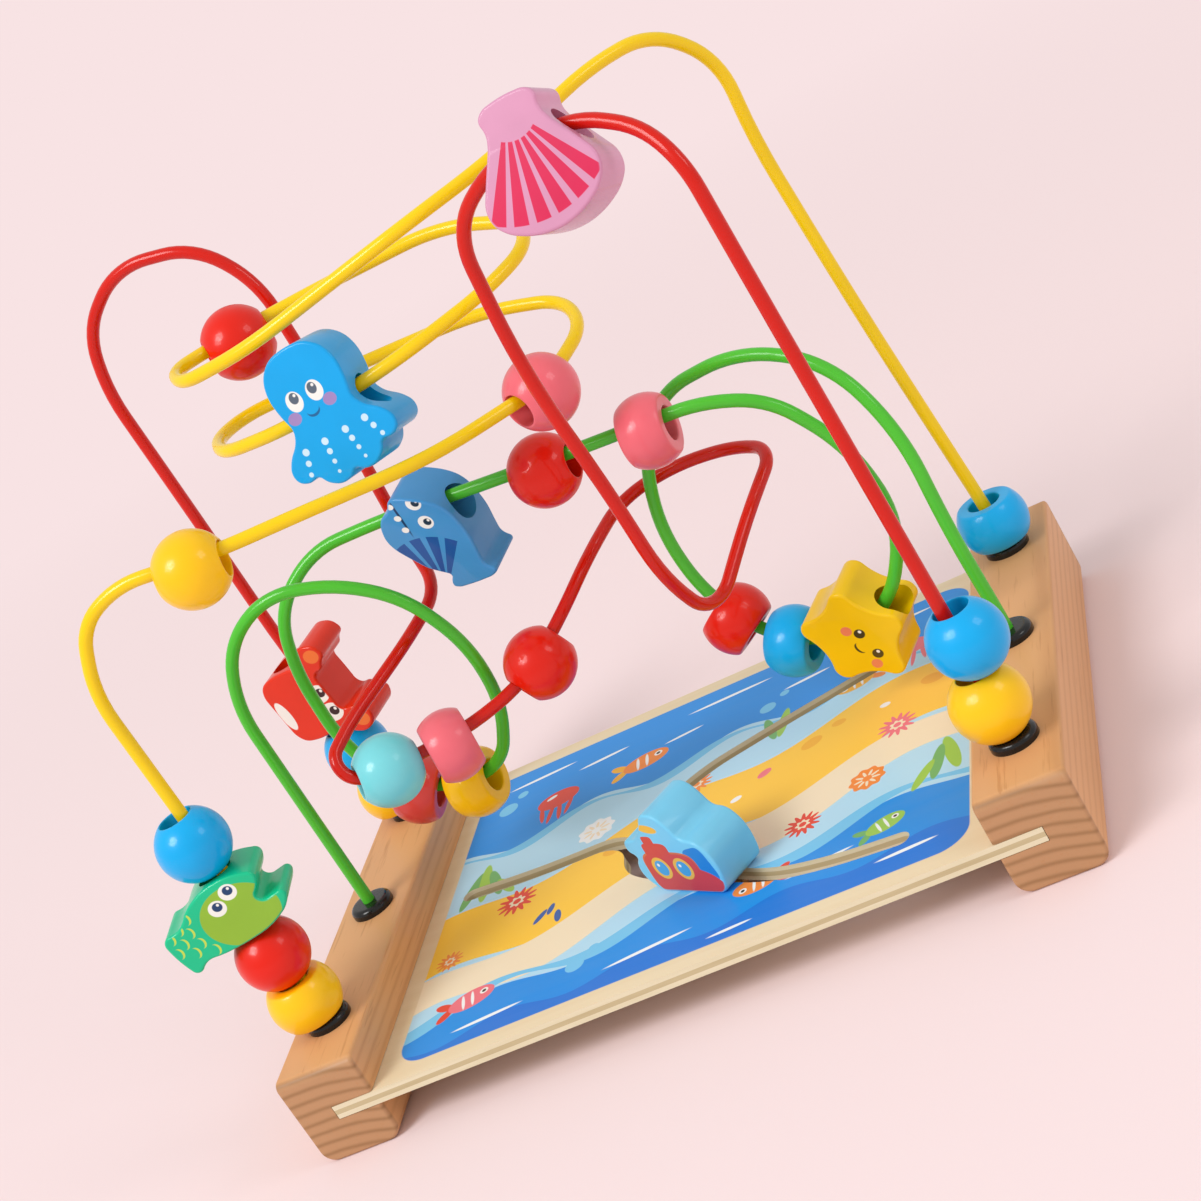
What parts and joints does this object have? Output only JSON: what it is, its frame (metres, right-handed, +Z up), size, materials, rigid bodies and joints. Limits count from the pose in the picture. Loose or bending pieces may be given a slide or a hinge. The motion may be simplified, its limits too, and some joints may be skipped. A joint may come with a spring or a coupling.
{
  "type": "bead maze",
  "caption": "Tabletop bead maze: coloured wire runs with turned beads and sea-animal figures above a board with a track for a sliding submarine.",
  "frame": {"origin": "on the table under the middle of the play board", "axes": "+X from the left rail to the right rail, +Y from the front to the back, +Z up"},
  "size_m": [0.2316, 0.152, 0.2152],
  "materials": {
    "beech": "clear lacquered beech",
    "printed_plywood": "printed plywood, satin",
    "yellow_wire": "gloss enamel",
    "red_wire": "gloss enamel",
    "green_wire": "gloss enamel",
    "black_collar": "gloss black",
    "yellow_paint": "satin paint on turned wood",
    "red_paint": "satin paint on turned wood",
    "blue_paint": "satin paint on turned wood",
    "turquoise_paint": "satin paint on turned wood",
    "pink_paint": "satin paint on turned wood",
    "coral_paint": "satin paint on turned wood",
    "fish_paint": "satin paint on cut wood",
    "octopus_paint": "satin paint on cut wood",
    "shell_paint": "satin paint on cut wood",
    "crab_paint": "satin paint on cut wood",
    "whale_paint": "satin paint on cut wood",
    "star_paint": "satin paint on cut wood",
    "submarine_paint": "satin paint on cut wood"
  },
  "bodies": {
    "maze_frame": {"rail_left": "beech", "rail_right": "beech", "play_board": "printed_plywood", "wire_yellow": "yellow_wire", "wire_red": "red_wire", "wire_green": "green_wire", "collar_front_left": "black_collar", "collar_middle_left": "black_collar", "collar_back_left": "black_collar", "collar_front_right": "black_collar", "collar_middle_right": "black_collar", "collar_back_right": "black_collar"},
    "front_left_bead_yellow": {"front_left_bead_yellow": "yellow_paint"},
    "front_left_bead_red": {"front_left_bead_red": "red_paint"},
    "front_left_bead_blue": {"front_left_bead_blue": "blue_paint"},
    "front_right_bead_yellow": {"front_right_bead_yellow": "yellow_paint"},
    "front_right_bead_blue": {"front_right_bead_blue": "blue_paint"},
    "back_right_bead_blue": {"back_right_bead_blue": "blue_paint"},
    "back_left_bead_yellow": {"back_left_bead_yellow": "yellow_paint"},
    "back_left_bead_blue": {"back_left_bead_blue": "blue_paint"},
    "yellow_wire_bead_yellow": {"yellow_wire_bead_yellow": "yellow_paint"},
    "yellow_wire_bead_pink": {"yellow_wire_bead_pink": "pink_paint"},
    "yellow_wire_bead_red": {"yellow_wire_bead_red": "red_paint"},
    "red_wire_bead_red": {"red_wire_bead_red": "red_paint"},
    "red_wire_bead_pink": {"red_wire_bead_pink": "pink_paint"},
    "red_wire_bead_turquoise": {"red_wire_bead_turquoise": "turquoise_paint"},
    "green_wire_bead_yellow": {"green_wire_bead_yellow": "yellow_paint"},
    "green_wire_bead_coral": {"green_wire_bead_coral": "coral_paint"},
    "green_wire_bead_red": {"green_wire_bead_red": "red_paint"},
    "green_wire_bead_pink": {"green_wire_bead_pink": "pink_paint"},
    "green_wire_bead_blue": {"green_wire_bead_blue": "blue_paint"},
    "green_wire_bead_scarlet": {"green_wire_bead_scarlet": "red_paint"},
    "fish": {"fish": "fish_paint"},
    "octopus": {"octopus": "octopus_paint"},
    "shell": {"shell": "shell_paint"},
    "crab": {"crab": "crab_paint"},
    "whale": {"whale": "whale_paint"},
    "star": {"star": "star_paint"},
    "washer": {"retaining_washer": "beech"},
    "submarine": {"submarine_body": "submarine_paint", "submarine_peg": "beech"}
  },
  "joints": [
    {"name": "front_left_bead_yellow_travel", "type": "slide", "parent": "maze_frame", "child": "front_left_bead_yellow", "axis": [0, 0, 1], "range_m": [0, 0.008]},
    {"name": "front_left_bead_red_travel", "type": "slide", "parent": "front_left_bead_yellow", "child": "front_left_bead_red", "axis": [0, 0, 1], "range_m": [0, 0.008]},
    {"name": "fish_travel", "type": "slide", "parent": "front_left_bead_red", "child": "fish", "axis": [0, 0, 1], "range_m": [0, 0.008]},
    {"name": "front_left_bead_blue_travel", "type": "slide", "parent": "fish", "child": "front_left_bead_blue", "axis": [0, 0, 1], "range_m": [0, 0.008]},
    {"name": "front_right_bead_yellow_travel", "type": "slide", "parent": "maze_frame", "child": "front_right_bead_yellow", "axis": [0, 0, 1], "range_m": [0, 0.016]},
    {"name": "front_right_bead_blue_travel", "type": "slide", "parent": "front_right_bead_yellow", "child": "front_right_bead_blue", "axis": [0, 0, 1], "range_m": [0, 0.016]},
    {"name": "back_right_bead_blue_travel", "type": "slide", "parent": "maze_frame", "child": "back_right_bead_blue", "axis": [0, 0, 1], "range_m": [0, 0.028]},
    {"name": "back_left_bead_yellow_travel", "type": "slide", "parent": "maze_frame", "child": "back_left_bead_yellow", "axis": [0, 0, 1], "range_m": [0, 0.012]},
    {"name": "back_left_bead_blue_travel", "type": "slide", "parent": "back_left_bead_yellow", "child": "back_left_bead_blue", "axis": [0, 0, 1], "range_m": [0, 0.012]},
    {"name": "crab_travel", "type": "slide", "parent": "back_left_bead_blue", "child": "crab", "axis": [0, 0, 1], "range_m": [0, 0.012]},
    {"name": "yellow_wire_bead_yellow_travel", "type": "hinge", "parent": "maze_frame", "child": "yellow_wire_bead_yellow", "pos_m": [-0.07181, 0.02697, 0.1575], "axis": [0.1559, -0.0105, 0.9877], "range_deg": [-12, 20]},
    {"name": "yellow_wire_bead_pink_travel", "type": "hinge", "parent": "maze_frame", "child": "yellow_wire_bead_pink", "pos_m": [-0.0067, 0.02366, 0.16819], "axis": [0.4389, -0.3712, 0.8183], "range_deg": [-22, 21]},
    {"name": "yellow_wire_bead_red_travel", "type": "slide", "parent": "maze_frame", "child": "yellow_wire_bead_red", "axis": [-0.8886, -0.4557, 0.0519], "range_m": [-0.0085, 0.0005]},
    {"name": "red_wire_bead_red_travel", "type": "hinge", "parent": "maze_frame", "child": "red_wire_bead_red", "pos_m": [-0.0362, -0.00314, 0.1183], "axis": [-0.5091, 0.85, -0.1352], "range_deg": [-13.5, 8]},
    {"name": "red_wire_bead_pink_travel", "type": "hinge", "parent": "maze_frame", "child": "red_wire_bead_pink", "pos_m": [-0.0625, 0.03585, 0.13469], "axis": [-0.3597, 0.6807, -0.6381], "range_deg": [-4.5, 0]},
    {"name": "red_wire_bead_turquoise_travel", "type": "slide", "parent": "maze_frame", "child": "red_wire_bead_turquoise", "axis": [-0.8404, -0.4905, 0.2304], "range_m": [0, 0.0007]},
    {"name": "green_wire_bead_yellow_travel", "type": "hinge", "parent": "maze_frame", "child": "green_wire_bead_yellow", "pos_m": [-0.05599, 0.00837, 0.07313], "axis": [0.1252, 0.9908, 0.0508], "range_deg": [-9, 0]},
    {"name": "green_wire_bead_coral_travel", "type": "hinge", "parent": "maze_frame", "child": "green_wire_bead_coral", "pos_m": [-0.05993, 0.01042, 0.07065], "axis": [0.1041, 0.9945, -0.0084], "range_deg": [0, 68]},
    {"name": "whale_travel", "type": "slide", "parent": "maze_frame", "child": "whale", "axis": [0.9844, -0.169, -0.0487], "range_m": [-0.007, 0.007]},
    {"name": "green_wire_bead_red_travel", "type": "slide", "parent": "maze_frame", "child": "green_wire_bead_red", "axis": [0.9911, -0.1221, -0.0529], "range_m": [-0.0075, 0.007]},
    {"name": "green_wire_bead_pink_travel", "type": "slide", "parent": "maze_frame", "child": "green_wire_bead_pink", "axis": [0.9961, -0.0668, -0.0577], "range_m": [-0.0075, 0.0195]},
    {"name": "star_travel", "type": "hinge", "parent": "maze_frame", "child": "star", "pos_m": [0.0523, 0.01959, 0.06733], "axis": [0.3792, 0.9246, 0.0356], "range_deg": [-41, 0]},
    {"name": "green_wire_bead_blue_travel", "type": "hinge", "parent": "maze_frame", "child": "green_wire_bead_blue", "pos_m": [0.05165, 0.02221, 0.0683], "axis": [0.3596, 0.9324, -0.0347], "range_deg": [0, 20]},
    {"name": "green_wire_bead_scarlet_travel", "type": "hinge", "parent": "green_wire_bead_blue", "child": "green_wire_bead_scarlet", "pos_m": [0.05165, 0.02221, 0.0683], "axis": [0.3596, 0.9324, -0.0347], "range_deg": [0, 25]},
    {"name": "octopus_travel", "type": "slide", "parent": "maze_frame", "child": "octopus", "axis": [0.9942, -0.065, 0.0851], "range_m": [-0.0012, 0.002]},
    {"name": "shell_travel", "type": "slide", "parent": "maze_frame", "child": "shell", "axis": [-0.9829, 0.1701, -0.0706], "range_m": [-0.0025, 0.005]},
    {"name": "submarine_travel", "type": "slide", "parent": "maze_frame", "child": "washer", "axis": [0.817, -0.5766, 0], "range_m": [-0.022, 0.017]},
    {"name": "submarine_turn", "type": "hinge", "parent": "washer", "child": "submarine", "pos_m": [0.00797, -0.0362, 0.02], "axis": [0, 0, 1], "continuous": true}
  ]
}
